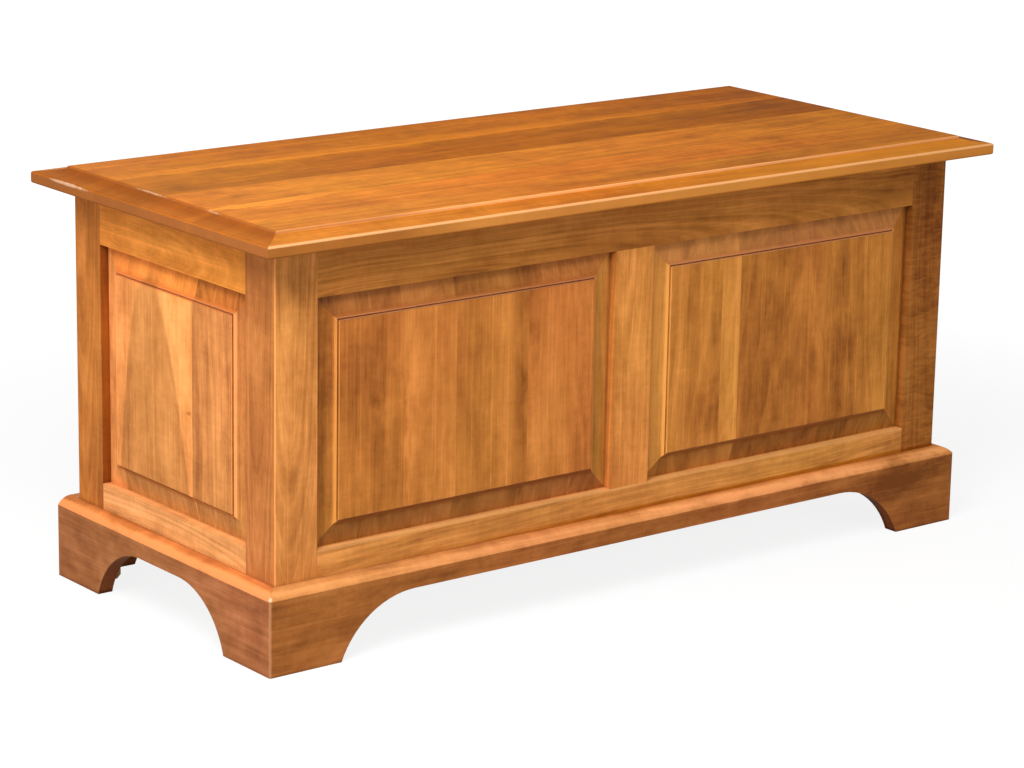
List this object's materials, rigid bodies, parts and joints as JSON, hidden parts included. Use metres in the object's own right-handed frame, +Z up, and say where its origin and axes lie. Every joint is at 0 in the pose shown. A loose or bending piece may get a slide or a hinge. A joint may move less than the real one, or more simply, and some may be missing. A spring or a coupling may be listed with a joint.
{
  "type": "blanket chest",
  "caption": "Rectangular wooden blanket chest with raised-panel sides, arched bracket base and a hinged, moulded solid lid.",
  "frame": {"origin": "on the floor, under the middle of the lid", "axes": "+X along the front to the right as seen from the front, +Y to the back, +Z up"},
  "size_m": [1.219, 0.552, 0.561],
  "materials": {
    "lid_wood": "satin",
    "batten_wood": "satin",
    "frame_wood": "satin",
    "panel_wood": "satin",
    "back_panel_wood": "satin",
    "base_wood": "satin",
    "cedar": "matte",
    "inner_wood": "matte",
    "hinge_metal": "satin",
    "screw_brass": "satin",
    "screw_steel": "satin",
    "sleeve_bronze": "satin",
    "bumper_felt": "matte"
  },
  "bodies": {
    "carcase": {"back_bottom_rail": "frame_wood", "back_centre_stile": "frame_wood", "back_cleat": "inner_wood", "back_left_panel": "back_panel_wood", "back_left_stile": "frame_wood", "back_right_panel": "back_panel_wood", "back_right_stile": "frame_wood", "back_top_rail": "frame_wood", "base_back": "base_wood", "base_corner_blocks": "inner_wood", "base_front": "base_wood", "base_left": "base_wood", "base_right": "base_wood", "bottom_bearer": "inner_wood", "bottom_board_1": "cedar", "bottom_board_2": "cedar", "bottom_board_3": "cedar", "bottom_board_4": "cedar", "front_bottom_rail": "frame_wood", "front_centre_stile": "frame_wood", "front_cleat": "inner_wood", "front_left_panel": "panel_wood", "front_left_stile": "frame_wood", "front_right_panel": "panel_wood", "front_right_stile": "frame_wood", "front_top_rail": "frame_wood", "hinge_body_screws": "screw_brass", "hinge_centre_body_leaf": "hinge_metal", "hinge_left_body_leaf": "hinge_metal", "hinge_pins": "hinge_metal", "hinge_right_body_leaf": "hinge_metal", "left_back_stile": "frame_wood", "left_bottom_rail": "frame_wood", "left_cleat": "inner_wood", "left_front_stile": "frame_wood", "left_panel": "panel_wood", "left_top_rail": "frame_wood", "lid_bumpers": "bumper_felt", "right_back_stile": "frame_wood", "right_bottom_rail": "frame_wood", "right_cleat": "inner_wood", "right_front_stile": "frame_wood", "right_panel": "panel_wood", "right_top_rail": "frame_wood"},
    "lid": {"lid_batten_left": "batten_wood", "lid_batten_right": "batten_wood", "lid_board_1": "lid_wood", "lid_board_2": "lid_wood", "lid_board_3": "lid_wood", "lid_board_4": "lid_wood", "lid_board_5": "lid_wood", "batten_screws": "screw_steel", "hinge_left_lid_leaf": "hinge_metal", "hinge_centre_lid_leaf": "hinge_metal", "hinge_right_lid_leaf": "hinge_metal", "hinge_friction_sleeves": "sleeve_bronze", "hinge_lid_screws": "screw_brass"}
  },
  "joints": [
    {"name": "lid_hinge", "type": "hinge", "parent": "carcase", "child": "lid", "pos_m": [0, 0.247, 0.5277], "axis": [-1, 0, 0], "range_deg": [0, 95]}
  ]
}
